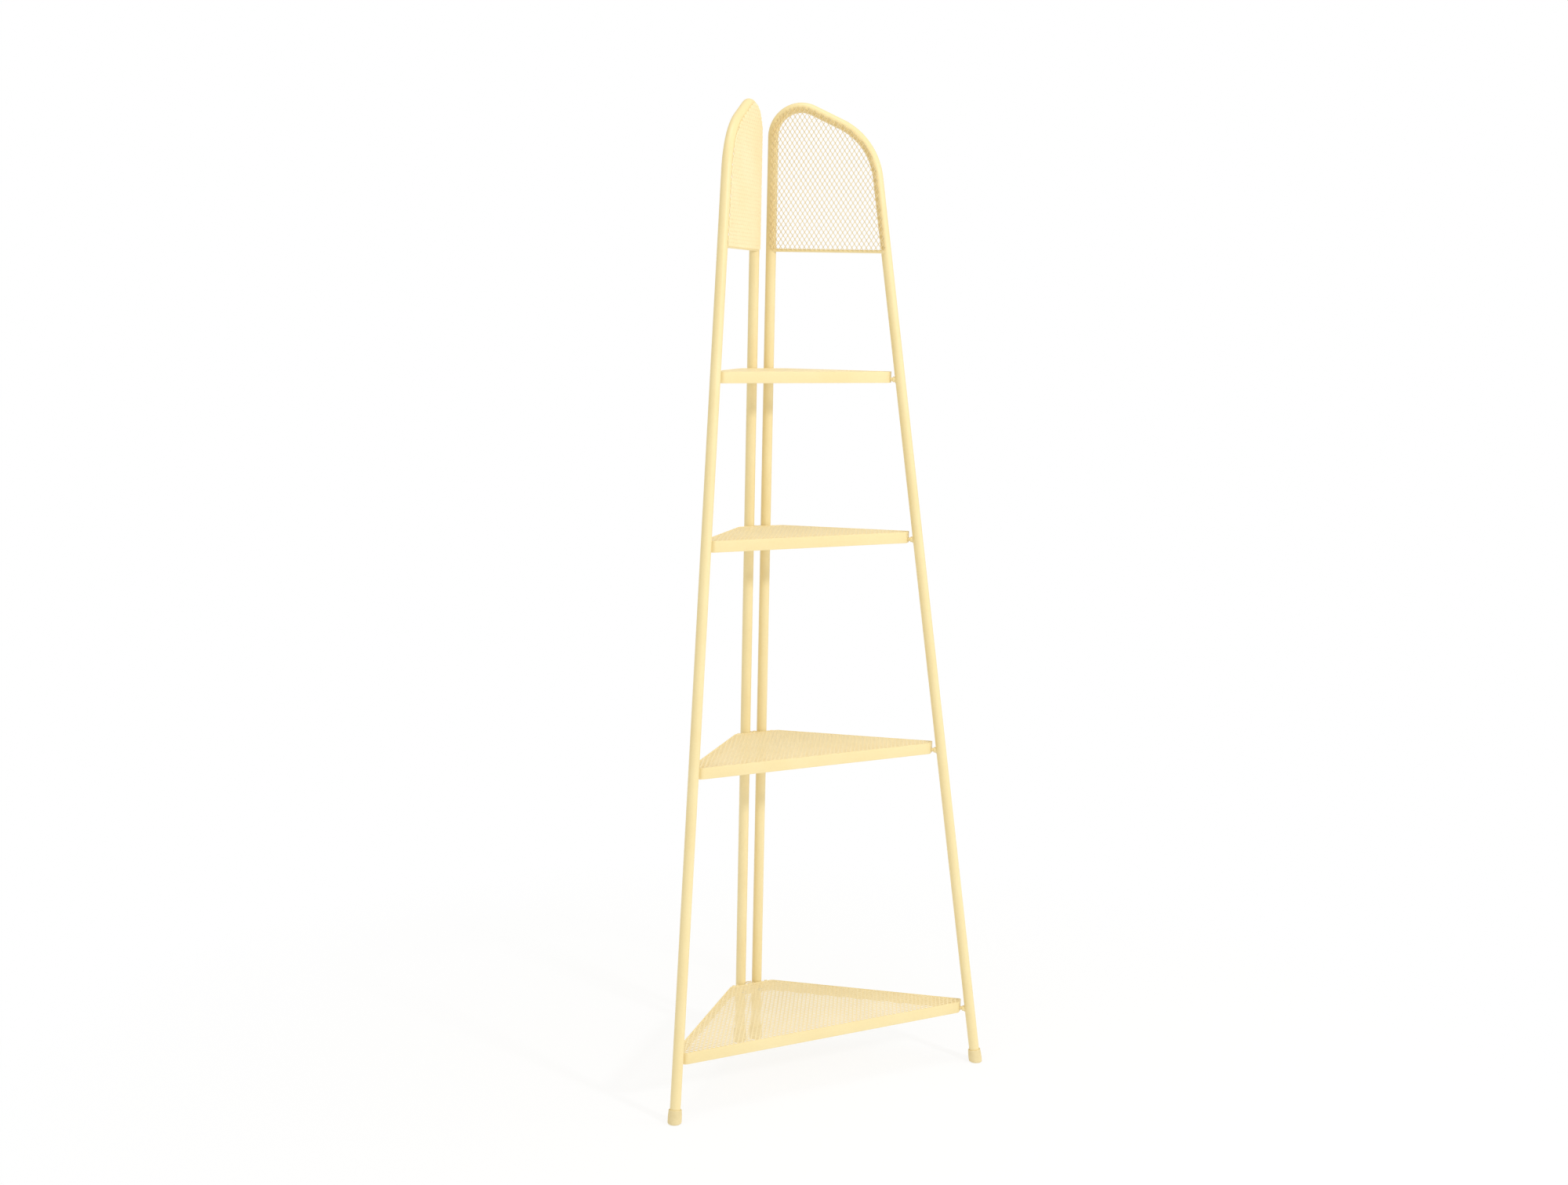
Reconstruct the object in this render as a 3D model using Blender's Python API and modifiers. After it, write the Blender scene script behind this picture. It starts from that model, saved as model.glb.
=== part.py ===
"""Garden corner shelf: two bent tube frames, four expanded-metal shelves and two expanded-metal panels.

Metres, +Z up, front towards -Y. The two frames stand against the two walls of a room's corner, and the
plane X = 0 halves that corner. Each side is drawn in its own axes: s runs along the wall away from the
corner, t away from the wall into the room, and z is the height above the floor.
"""

import math

import bmesh
import bpy
import numpy as np
from mathutils import Matrix

# General
CLEARANCE = 0.0003         # between pieces that touch
OVERRUN = 0.002            # how far a cutter runs past what it cuts
ROUND_SIDES = 16           # sides of the tubes and the feet
SMALL_SIDES = 10           # sides of the bosses and bolts

# Bent tube frames
HEIGHT = 1.8018            # floor to the top of the rear bend
TUBE_DIAMETER = 0.019
TUBE_WALL = 0.0014
REAR_REACH = 0.038         # wall corner to the rear upright's axis, along the wall
FRONT_REACH = 0.4751       # wall corner to the front leg's axis at the floor, along the wall
LEG_LEAN = math.radians(8.08)
TOP_FALL = math.radians(25.0)
REAR_BEND_RADIUS = 0.053   # to the tube's axis
FRONT_BEND_RADIUS = 0.1255
REAR_BEND_STEPS = 7
FRONT_BEND_STEPS = 5

# Plastic feet
FOOT_DIAMETER = 0.025
FOOT_HEIGHT = 0.025
FOOT_SOLE = 0.0045         # under the end of the tube, on its axis
FOOT_TAPER = 0.0007        # how much narrower the mouth is, on the radius
FOOT_EDGE = 0.0015         # chamfer of the mouth
FOOT_ROUND = 0.003         # chamfer of the sole

# Panels of expanded metal in the tops of the frames
BAR_DIAMETER = 0.006
PANEL_HEIGHT = 0.2698      # the bar's axis to the top of the frame
SHEET = 0.0015             # thickness of the expanded metal

# Shelves, top to bottom
SHELF_1_HEIGHT = 1.312     # floor to the top of the mesh
SHELF_2_HEIGHT = 1.015
SHELF_3_HEIGHT = 0.617
SHELF_4_HEIGHT = 0.117
RIM_HEIGHT = 0.0182
RIM_THICKNESS = 0.0018
TIP_WIDTH = 0.0226         # flat end of the rim at each front leg
TIP_RADIUS = 0.004         # between that end and the edge along the wall
FRONT_CORNER_RADIUS = 0.010   # between that end and the straight front
REAR_CORNER_RADIUS = 0.010
CORNER_STEP = math.radians(22.5)

# Pattern of the expanded metal, drawn coarser than the real one
DIAMOND_LENGTH = 0.0675    # long way of a diamond, from knuckle to knuckle
DIAMOND_WIDTH = 0.0453     # short way
STRAND = 0.0066            # width of a strand
EDGE_STRAND = 0.0040       # uncut border that is welded to the rim or the tube
SMALLEST_GAP_SHARE = 0.15  # cut diamonds smaller than this share of a whole one stay filled

# Bosses, rivet nuts and bolts
BOLT_DROP = 0.0136         # top of the mesh to the bolt's axis
BOSS_LENGTH = 0.0095       # leg to shelf
BOSS_DIAMETER = 0.0104
NECK_DIAMETER = 0.007
NECK_LENGTH = 0.0045
WELD = 0.0015              # fillet where the boss meets the tube
NUT_DIAMETER = 0.007       # rivet nut in the upright
NUT_LENGTH = 0.0105
NUT_FLANGE_DIAMETER = 0.010
NUT_FLANGE = 0.0008
BOLT_DIAMETER = 0.005
BOLT_HEAD_DIAMETER = 0.0085
BOLT_HEAD_HEIGHT = 0.0028
BOLT_GRIP = 0.0045         # length of bolt inside a boss
REAR_BOLT_GRIP = 0.0085    # length of bolt inside a rivet nut
BORE_END = 0.0006          # left free beyond the bolt's end

# Sizes that follow
TUBE_RADIUS = TUBE_DIAMETER / 2
FOOT_RADIUS = FOOT_DIAMETER / 2
BAR_RADIUS = BAR_DIAMETER / 2
ROOT_TWO = math.sqrt(2)
FRAME_PLANE = FOOT_RADIUS                        # t of the tubes' axes: the feet touch the wall
SLOPE_SHARE = math.tan(LEG_LEAN)
SHELVES = (
    ("shelf_1", SHELF_1_HEIGHT),
    ("shelf_2", SHELF_2_HEIGHT),
    ("shelf_3", SHELF_3_HEIGHT),
    ("shelf_4", SHELF_4_HEIGHT),
)
FRONT_EDGE = (FRONT_REACH + FRAME_PLANE + FOOT_RADIUS * math.hypot(1, 1 / math.cos(LEG_LEAN))) / ROOT_TWO
REAR_EDGE = (REAR_REACH + FRAME_PLANE) / ROOT_TWO - FOOT_RADIUS
BAR_HEIGHT = HEIGHT - PANEL_HEIGHT               # floor to the bar's axis
CORNER_Y = (FRONT_EDGE + REAR_EDGE) / 2          # the wall corner, seen from the middle of the footprint
UPRIGHT_Y = (REAR_REACH + FRAME_PLANE) / ROOT_TWO   # wall corner to the uprights' axes, straight forward
STRIP_Y = UPRIGHT_Y + TUBE_RADIUS + NUT_FLANGE + 2 * CLEARANCE

# Each side: name, sign of t in the side's own axes, turn about +Z
SIDES = (
    ("left", 1, math.radians(-135)),
    ("right", -1, math.radians(-45)),
)


def clear_scene():
    for thing in list(bpy.data.objects):
        bpy.data.objects.remove(thing, do_unlink=True)


def material(name, colour, roughness, metallic):
    """A Principled material; colour in linear light."""
    made = bpy.data.materials.new(name)
    made.use_nodes = True
    shader = made.node_tree.nodes["Principled BSDF"]
    shader.inputs["Base Color"].default_value = (*colour, 1.0)
    shader.inputs["Roughness"].default_value = roughness
    shader.inputs["Metallic"].default_value = metallic
    made.diffuse_color = (*colour, 1.0)
    return made


def add(name, data, group, parent=None, look=None):
    """A new object in its collection, under its parent."""
    made = bpy.data.objects.new(name, data)
    group.objects.link(made)
    made.parent = parent
    if look:
        data.materials.append(look)
    return made


def to_mesh(source):
    """A curve or a modified object as one plain mesh object in the same place, welded."""
    bpy.context.view_layer.update()
    found = source.evaluated_get(bpy.context.evaluated_depsgraph_get())
    mesh = bpy.data.meshes.new_from_object(found)
    work = bmesh.new()
    work.from_mesh(mesh)
    bmesh.ops.remove_doubles(work, verts=work.verts, dist=CLEARANCE / 10)
    work.to_mesh(mesh)
    work.free()
    name = source.name
    group = source.users_collection[0]
    place = source.matrix_world.copy()
    parent = source.parent
    bpy.data.objects.remove(source, do_unlink=True)
    made = add(name, mesh, group, parent)
    made.matrix_world = place
    return made


def smooth(thing, angle=math.radians(30)):
    thing.data.shade_smooth()
    thing.data.set_sharp_from_angle(angle=angle)


def turned(name, profile, group, parent, look=None, sides=ROUND_SIDES):
    """A turned piece about its own Z; the profile is (radius, height) from the top down its outer side."""
    mesh = bpy.data.meshes.new(name)
    points = [(radius, 0, height) for radius, height in profile]
    mesh.from_pydata(points, [(i, i + 1) for i in range(len(points) - 1)], [])
    made = add(name, mesh, group, parent, look)
    screw = made.modifiers.new("turn", "SCREW")
    screw.axis = "Z"
    screw.steps = sides
    screw.render_steps = sides
    screw.use_merge_vertices = True
    screw.merge_threshold = CLEARANCE / 10
    return made


def flat(name, outlines, thickness, group, parent, look=None):
    """A flat piece from closed 2D outlines; outlines inside the first are its holes."""
    curve = bpy.data.curves.new(name, "CURVE")
    curve.dimensions = "2D"
    curve.fill_mode = "BOTH"
    curve.extrude = thickness / 2
    for outline in outlines:
        line = curve.splines.new("POLY")
        line.points.add(len(outline) - 1)
        for point, place in zip(line.points, outline):
            point.co = (place[0], place[1], 0, 1)
        line.use_cyclic_u = True
    return add(name, curve, group, parent, look)


def cut(thing, cutter):
    """A Boolean cut that keeps the exact solver; the cutter stays as a guide."""
    cutter.hide_render = True
    cutter.display_type = "WIRE"
    made = thing.modifiers.new(cutter.name, "BOOLEAN")
    made.operation = "DIFFERENCE"
    made.object = cutter


def cylinder(name, radius, length, sides, group, parent=None):
    """A capped cylinder along its own Z, centred."""
    mesh = bpy.data.meshes.new(name)
    work = bmesh.new()
    bmesh.ops.create_cone(
        work, cap_ends=True, segments=sides, radius1=radius, radius2=radius, depth=length
    )
    work.to_mesh(mesh)
    work.free()
    return add(name, mesh, group, parent)


def block(name, size, group, parent=None):
    """A box, centred."""
    mesh = bpy.data.meshes.new(name)
    work = bmesh.new()
    bmesh.ops.create_cube(work, size=1, matrix=Matrix.Diagonal((*size, 1)))
    work.to_mesh(mesh)
    work.free()
    return add(name, mesh, group, parent)


def arc(centre, radius, start, end, steps):
    """Points on an arc, both ends included."""
    angles = np.linspace(start, end, steps + 1)
    return [(centre[0] + radius * math.cos(a), centre[1] + radius * math.sin(a)) for a in angles]


def rounded(corners, radii):
    """A closed convex outline, counter-clockwise, with an arc of its own radius at each corner."""
    points = []
    count = len(corners)
    for i, (corner, radius) in enumerate(zip(corners, radii)):
        here = np.array(corner)
        before = np.array(corners[i - 1]) - here
        after = np.array(corners[(i + 1) % count]) - here
        before = before / np.linalg.norm(before)
        after = after / np.linalg.norm(after)
        half = math.acos(float(np.clip(before @ after, -1, 1))) / 2
        middle = before + after
        centre = here + middle / np.linalg.norm(middle) * radius / math.sin(half)
        turn = math.pi - 2 * half
        first = here + before * radius / math.tan(half)
        start = math.atan2(first[1] - centre[1], first[0] - centre[0])
        points += arc(centre, radius, start, start + turn, max(2, math.ceil(turn / CORNER_STEP)))
    return points


def inset(corners, distance):
    """The corners of a convex outline moved inward by a distance."""
    moved = []
    count = len(corners)
    for i in range(count):
        here = np.array(corners[i])
        before = here - np.array(corners[i - 1])
        after = np.array(corners[(i + 1) % count]) - here
        before = before / np.linalg.norm(before)
        after = after / np.linalg.norm(after)
        one = np.array((-before[1], before[0]))
        two = np.array((-after[1], after[0]))
        moved.append(tuple(here + (one + two) * distance / (1 + one @ two)))
    return moved


def clipped(shape, border):
    """The part of a convex shape that lies inside a convex, counter-clockwise border."""
    for i in range(len(border)):
        one = np.array(border[i - 1])
        two = np.array(border[i])
        along = two - one
        kept = []
        for j in range(len(shape)):
            last = np.array(shape[j - 1])
            here = np.array(shape[j])
            last_side = along[0] * (last - one)[1] - along[1] * (last - one)[0]
            here_side = along[0] * (here - one)[1] - along[1] * (here - one)[0]
            if (last_side > 0) != (here_side > 0):
                share = last_side / (last_side - here_side)
                kept.append(tuple(last + (here - last) * share))
            if here_side > 0:
                kept.append(tuple(here))
        shape = kept
        if len(shape) < 3:
            return []
    return shape


def area(shape):
    points = np.array(shape)
    after = np.roll(points, -1, axis=0)
    return abs(float(np.sum(points[:, 0] * after[:, 1] - points[:, 1] * after[:, 0]))) / 2


def tidy(shape):
    """The shape without points that lie closer together than a clearance."""
    return [p for i, p in enumerate(shape) if math.dist(p, shape[i - 1]) > CLEARANCE]


def diamonds(border):
    """The gaps of an expanded-metal sheet inside a border: rows of diamonds, the long way along y,
    every second row shifted by half a diamond, each cut off where it meets the border."""
    points = np.array(border)
    low = points.min(axis=0)
    high = points.max(axis=0)
    slant = math.hypot(DIAMOND_LENGTH, DIAMOND_WIDTH)
    half_long = DIAMOND_LENGTH / 2 - STRAND * slant / (2 * DIAMOND_WIDTH)
    half_short = DIAMOND_WIDTH / 2 - STRAND * slant / (2 * DIAMOND_LENGTH)
    whole = 2 * half_long * half_short
    middle = (low[0] + high[0]) / 2
    columns = math.ceil((high[0] - low[0]) / DIAMOND_WIDTH) + 1
    rows = math.ceil((high[1] - low[1]) / DIAMOND_LENGTH) + 1
    gaps = []
    for column in range(-columns, columns + 1):
        for row in range(rows + 1):
            x = middle + column * DIAMOND_WIDTH / 2
            y = low[1] + (row + (column % 2) / 2) * DIAMOND_LENGTH
            shape = [(x - half_short, y), (x, y - half_long), (x + half_short, y), (x, y + half_long)]
            shape = clipped(shape, border)
            if shape and area(shape) > whole * SMALLEST_GAP_SHARE:
                shape = tidy(shape)
                if len(shape) > 2:
                    gaps.append(shape)
    return gaps


def leg_reach(height):
    """s of the front leg's axis at a height."""
    return FRONT_REACH - SLOPE_SHARE * height


def frame_line(foot_height):
    """The axis of a frame's tube as (s, z) points, from the rear foot over the top to the front foot."""
    crown = HEIGHT - TUBE_RADIUS
    rear_centre = (REAR_REACH + REAR_BEND_RADIUS, crown - REAR_BEND_RADIUS)
    points = [(REAR_REACH, foot_height)]
    points += arc(
        rear_centre, REAR_BEND_RADIUS, math.pi, math.pi / 2 - TOP_FALL, REAR_BEND_STEPS
    )
    start = points[-1]
    fall = math.tan(TOP_FALL)
    corner_s = (start[1] + fall * start[0] - FRONT_REACH / SLOPE_SHARE) / (fall - 1 / SLOPE_SHARE)
    corner_z = start[1] - fall * (corner_s - start[0])
    turn = math.pi / 2 - TOP_FALL - LEG_LEAN
    reach = FRONT_BEND_RADIUS * math.tan(turn / 2)
    begin = (corner_s - reach * math.cos(TOP_FALL), corner_z + reach * math.sin(TOP_FALL))
    front_centre = (
        begin[0] - FRONT_BEND_RADIUS * math.sin(TOP_FALL),
        begin[1] - FRONT_BEND_RADIUS * math.cos(TOP_FALL),
    )
    points += arc(front_centre, FRONT_BEND_RADIUS, math.pi / 2 - TOP_FALL, LEG_LEAN, FRONT_BEND_STEPS)
    points.append((leg_reach(foot_height), foot_height))
    return points


def build_frame(side, sign, root, parent, group, cutters, look):
    """A bent tube: an open swept skin with a wall, so both ends stay open inside the feet. Its upright has
    a hole for each shelf's rivet nut, in the side that faces the shelves."""
    name = f"{side}_frame_tube"
    curve = bpy.data.curves.new(name, "CURVE")
    curve.dimensions = "3D"
    curve.bevel_depth = TUBE_RADIUS
    curve.bevel_resolution = (ROUND_SIDES - 4) // 2
    curve.use_fill_caps = False
    line = curve.splines.new("POLY")
    points = frame_line(FOOT_SOLE + CLEARANCE)
    line.points.add(len(points) - 1)
    for point, (s, z) in zip(line.points, points):
        point.co = (s, 0, z, 1)
    tube = add(name, curve, group, parent)
    tube.location = (0, sign * FRAME_PLANE, 0)
    tube = to_mesh(tube)
    tube.data.materials.append(look)
    wall = tube.modifiers.new("wall", "SOLIDIFY")
    wall.thickness = TUBE_WALL
    wall.offset = -1
    for shelf, height in SHELVES:
        drill = cylinder(f"{shelf}_{side}_nut_hole", NUT_DIAMETER / 2 + CLEARANCE, TUBE_RADIUS + OVERRUN,
                         SMALL_SIDES, cutters, root)
        upright_x = -sign * (REAR_REACH - FRAME_PLANE) / ROOT_TWO
        upright_y = CORNER_Y - UPRIGHT_Y - (TUBE_RADIUS + OVERRUN) / 2
        drill.location = (upright_x, upright_y, height - BOLT_DROP)
        drill.rotation_euler = (math.pi / 2, 0, 0)
        cut(tube, drill)
    smooth(tube)
    return tube


def build_foot(name, reach, lean, sign, parent, group, cutters, look):
    """A turned cup on the tube's axis, cut level with the floor."""
    bore = TUBE_RADIUS + CLEARANCE
    mouth = FOOT_RADIUS - FOOT_TAPER
    if lean:
        drop = FOOT_RADIUS * math.tan(lean)
        sole = [(FOOT_RADIUS, FOOT_ROUND), (FOOT_RADIUS - FOOT_ROUND, -drop - OVERRUN), (0, -drop - OVERRUN)]
    else:
        sole = [(FOOT_RADIUS, FOOT_ROUND), (FOOT_RADIUS - FOOT_ROUND, 0), (0, 0)]
    profile = [
        (0, FOOT_SOLE),
        (bore, FOOT_SOLE),
        (bore, FOOT_HEIGHT),
        (mouth - FOOT_EDGE, FOOT_HEIGHT),
        (mouth, FOOT_HEIGHT - FOOT_EDGE),
    ]
    foot = turned(name, profile + sole, group, parent, look)
    foot.location = (reach, sign * FRAME_PLANE, 0)
    foot.rotation_euler = (0, -lean, 0)
    if lean:
        size = 4 * FOOT_RADIUS
        floor = block(f"{name}_floor_cut", (size, size, size), cutters, parent)
        floor.location = (reach, sign * FRAME_PLANE, -size / 2)
        cut(foot, floor)
    smooth(foot)
    return foot


def tube_cutter(name, s, z, lean, sign, length, parent, cutters):
    """A stand-in for the tube where something is coped to it."""
    made = cylinder(name, TUBE_RADIUS + CLEARANCE, length, ROUND_SIDES * 2, cutters, parent)
    made.location = (s, sign * FRAME_PLANE, z)
    made.rotation_euler = (0, -lean, 0)
    return made


def build_panel(side, sign, parent, group, cutters, look):
    """The bar under a panel and the sheet that lies on the tube and the bar."""
    inner_face = FRAME_PLANE + TUBE_RADIUS
    bar_name = f"{side}_panel_bar"
    end = leg_reach(BAR_HEIGHT)
    bar = cylinder(bar_name, BAR_RADIUS, end - REAR_REACH, SMALL_SIDES, group, parent)
    bar.data.materials.append(look)
    bar.location = ((end + REAR_REACH) / 2, sign * (inner_face - BAR_RADIUS), BAR_HEIGHT)
    bar.rotation_euler = (0, math.pi / 2, 0)
    length = 4 * BAR_DIAMETER
    cut(bar, tube_cutter(f"{bar_name}_rear_cope", REAR_REACH, BAR_HEIGHT, 0, sign, length, parent, cutters))
    cut(bar, tube_cutter(f"{bar_name}_front_cope", end, BAR_HEIGHT, LEG_LEAN, sign, length, parent, cutters))
    smooth(bar)

    border = [(s, z) for s, z in frame_line(BAR_HEIGHT)]
    border.reverse()
    gaps = diamonds(inset(border, EDGE_STRAND))
    sheet = flat(f"{side}_panel_mesh", [border] + gaps, SHEET, group, parent, look)
    sheet.location = (0, sign * (inner_face + CLEARANCE + SHEET / 2), 0)
    sheet.rotation_euler = (math.pi / 2, 0, 0)
    return sheet


def shelf_outline(height):
    """A shelf's outline before rounding, in world X and Y, and the radius of each of its corners: the
    straight front, a flat end square to the wall at each leg, the two edges along the walls, and the corner
    cut off in front of the uprights. Counter-clockwise from the front left. Also the flat end's s."""
    tip = leg_reach(height - BOLT_DROP) - TUBE_RADIUS - BOSS_LENGTH
    front = (tip + TIP_WIDTH) / ROOT_TWO
    half = (tip - TIP_WIDTH) / ROOT_TWO
    wall = tip / ROOT_TWO
    corners = [(-half, -front), (half, -front), (wall, -wall), (STRIP_Y, -STRIP_Y), (-STRIP_Y, -STRIP_Y),
               (-wall, -wall)]
    radii = [FRONT_CORNER_RADIUS, FRONT_CORNER_RADIUS, TIP_RADIUS, REAR_CORNER_RADIUS, REAR_CORNER_RADIUS,
             TIP_RADIUS]
    return corners, radii, tip


def boss_profile():
    """A boss along its own +Z from the tube's axis to the shelf, bored from the shelf's side."""
    reach = TUBE_RADIUS + BOSS_LENGTH - CLEARANCE
    bore = BOLT_DIAMETER / 2 + CLEARANCE
    floor = reach - BOLT_GRIP - BORE_END
    body = BOSS_DIAMETER / 2
    neck = NECK_DIAMETER / 2
    return [
        (0, floor),
        (bore, floor),
        (bore, reach),
        (neck, reach),
        (neck, reach - NECK_LENGTH),
        (body, reach - NECK_LENGTH - (body - neck) / 2),
        (body, TUBE_RADIUS + WELD / 2),
        (body + WELD, TUBE_RADIUS - WELD),
        (body + WELD, 0),
        (0, 0),
    ]


def nut_profile():
    """A rivet nut along its own +Z: its flange's face at 0 and its body below, bored from the flange."""
    bore = BOLT_DIAMETER / 2 + CLEARANCE
    floor = -REAR_BOLT_GRIP - BORE_END
    return [
        (0, floor),
        (bore, floor),
        (bore, 0),
        (NUT_FLANGE_DIAMETER / 2, 0),
        (NUT_FLANGE_DIAMETER / 2, -NUT_FLANGE),
        (NUT_DIAMETER / 2, -NUT_FLANGE),
        (NUT_DIAMETER / 2, -NUT_LENGTH),
        (0, -NUT_LENGTH),
    ]


def bolt_profile(reach):
    """A button-head bolt along its own +Z, its shank ending at 0 and its head above."""
    shank = BOLT_DIAMETER / 2
    head = BOLT_HEAD_DIAMETER / 2
    top = reach + BOLT_HEAD_HEIGHT
    return [
        (0, top),
        (head * math.sin(math.radians(30)), top),
        (head, reach + BOLT_HEAD_HEIGHT / 2),
        (head, reach),
        (shank, reach),
        (shank, 0),
        (0, 0),
    ]


def build_shelf(name, height, sides, root, group, cutters, steel, zinc):
    """A rim, its mesh, and the bosses and bolts that hold it to both frames."""
    corners, radii, tip = shelf_outline(height)
    inner_radii = [radius - RIM_THICKNESS for radius in radii]
    outline = rounded(corners, radii)
    inner = rounded(inset(corners, RIM_THICKNESS), inner_radii)
    sheet = flat(f"{name}_mesh", [outline] + diamonds(rounded(inset(corners, EDGE_STRAND), inner_radii)),
                 SHEET, group, root, steel)
    sheet.location = (0, CORNER_Y, height - SHEET / 2)

    rim_top = height - SHEET - CLEARANCE
    rim = flat(f"{name}_rim", [outline, inner], RIM_HEIGHT, group, root)
    rim.location = (0, CORNER_Y, rim_top - RIM_HEIGHT / 2)
    rim = to_mesh(rim)
    rim.data.materials.append(steel)

    bolt_z = height - BOLT_DROP
    hole = BOLT_DIAMETER / 2 + CLEARANCE
    hole_length = 2 * (RIM_THICKNESS + OVERRUN)
    seat = tip - RIM_THICKNESS - CLEARANCE
    leg = leg_reach(bolt_z)
    boss_end = leg - TUBE_RADIUS - BOSS_LENGTH + CLEARANCE
    for side, sign, parent in sides:
        # Front: along s, from the leg back to the shelf's flat end
        boss = turned(f"{name}_{side}_boss", boss_profile(), group, parent, steel, SMALL_SIDES)
        boss.location = (leg, sign * FRAME_PLANE, bolt_z)
        boss.rotation_euler = (0, -math.pi / 2, 0)
        cut(boss, tube_cutter(f"{boss.name}_cope", leg, bolt_z, LEG_LEAN, sign,
                              4 * BOSS_DIAMETER, parent, cutters))
        smooth(boss)
        bolt_end = boss_end + BOLT_GRIP
        bolt = turned(f"{name}_{side}_bolt", bolt_profile(bolt_end - seat), group, parent, zinc, SMALL_SIDES)
        bolt.location = (bolt_end, sign * FRAME_PLANE, bolt_z)
        bolt.rotation_euler = (0, -math.pi / 2, 0)
        smooth(bolt)
        drill = cylinder(f"{name}_{side}_hole", hole, hole_length, SMALL_SIDES, cutters, parent)
        drill.location = (tip - RIM_THICKNESS / 2, sign * FRAME_PLANE, bolt_z)
        drill.rotation_euler = (0, -math.pi / 2, 0)
        cut(rim, drill)

        # Rear: along world -Y, from the upright forward through the strip
        upright_x = -sign * (REAR_REACH - FRAME_PLANE) / ROOT_TWO
        strip = CORNER_Y - STRIP_Y
        nut = turned(f"{name}_{side}_rear_nut", nut_profile(), group, root, zinc, SMALL_SIDES)
        nut.location = (upright_x, strip + CLEARANCE, bolt_z)
        nut.rotation_euler = (math.pi / 2, 0, 0)
        smooth(nut)
        rear_end = strip + CLEARANCE + REAR_BOLT_GRIP
        rear_seat = strip - RIM_THICKNESS - CLEARANCE
        bolt = turned(f"{name}_{side}_rear_bolt", bolt_profile(rear_end - rear_seat),
                      group, root, zinc, SMALL_SIDES)
        bolt.location = (upright_x, rear_end, bolt_z)
        bolt.rotation_euler = (math.pi / 2, 0, 0)
        smooth(bolt)
        drill = cylinder(f"{name}_{side}_rear_hole", hole, hole_length, SMALL_SIDES, cutters, root)
        drill.location = (upright_x, strip - RIM_THICKNESS / 2, bolt_z)
        drill.rotation_euler = (math.pi / 2, 0, 0)
        cut(rim, drill)
    smooth(rim)


def main():
    clear_scene()
    group = bpy.data.collections.new("garden_shelf")
    cutters = bpy.data.collections.new("garden_shelf_cutters")
    bpy.context.scene.collection.children.link(group)
    bpy.context.scene.collection.children.link(cutters)
    steel = material("powder_coated_steel", (0.88, 0.74, 0.42), 0.45, 0.0)
    plastic = material("foot_plastic", (0.86, 0.72, 0.40), 0.55, 0.0)
    zinc = material("zinc_plated_steel", (0.62, 0.62, 0.60), 0.35, 0.9)
    root = add("garden_shelf_root", None, group)
    sides = []
    for side, sign, turn in SIDES:
        parent = add(f"{side}_wall", None, group, root)
        parent.location = (0, CORNER_Y, 0)
        parent.rotation_euler = (0, 0, turn)
        sides.append((side, sign, parent))
        bpy.context.view_layer.update()
        build_frame(side, sign, root, parent, group, cutters, steel)
        build_panel(side, sign, parent, group, cutters, steel)
        build_foot(f"{side}_front_foot", FRONT_REACH, LEG_LEAN, sign, parent, group, cutters, plastic)
        build_foot(f"{side}_rear_foot", REAR_REACH, 0, sign, parent, group, cutters, plastic)
    for name, height in SHELVES:
        build_shelf(name, height, sides, root, group, cutters, steel, zinc)
    bpy.context.view_layer.update()


main()
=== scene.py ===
"""Looks of the garden corner shelf: bent tube, moulded feet, rims and fine expanded metal, powder coated.

Metres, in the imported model's frame: +Z up, the open front towards -Y, the room's corner towards +Y. A side's
own axes are s along its wall away from the corner, t away from that wall into the room, and z up.
"""

import math

import bmesh
import bpy
import numpy as np
from mathutils import Matrix, Vector


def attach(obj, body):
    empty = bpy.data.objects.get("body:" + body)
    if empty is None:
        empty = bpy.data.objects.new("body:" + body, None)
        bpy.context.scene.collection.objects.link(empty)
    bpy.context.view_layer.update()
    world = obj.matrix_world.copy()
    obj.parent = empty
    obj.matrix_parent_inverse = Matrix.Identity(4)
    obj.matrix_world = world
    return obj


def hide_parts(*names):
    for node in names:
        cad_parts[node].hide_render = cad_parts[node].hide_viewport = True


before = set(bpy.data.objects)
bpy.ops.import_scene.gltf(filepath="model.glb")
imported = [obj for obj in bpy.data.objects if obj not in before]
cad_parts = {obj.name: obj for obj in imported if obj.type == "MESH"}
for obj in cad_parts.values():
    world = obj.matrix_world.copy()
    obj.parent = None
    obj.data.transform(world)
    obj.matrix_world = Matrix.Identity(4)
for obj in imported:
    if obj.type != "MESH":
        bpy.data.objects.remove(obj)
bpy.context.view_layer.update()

ROOT_TWO = math.sqrt(2)
GAP = 0.0003
CHAMFER = 0.0004

# Bent tube frames
HEIGHT = 1.8018
TUBE_RADIUS = 0.0095
TUBE_WALL = 0.0014
REAR_REACH = 0.038
FRONT_REACH = 0.4751
LEG_LEAN = math.radians(8.08)
TOP_FALL = math.radians(25.0)
REAR_BEND_RADIUS = 0.053
FRONT_BEND_RADIUS = 0.1255
TUBE_SIDES = 48
REAR_BEND_STEPS = 56
FRONT_BEND_STEPS = 44

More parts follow.
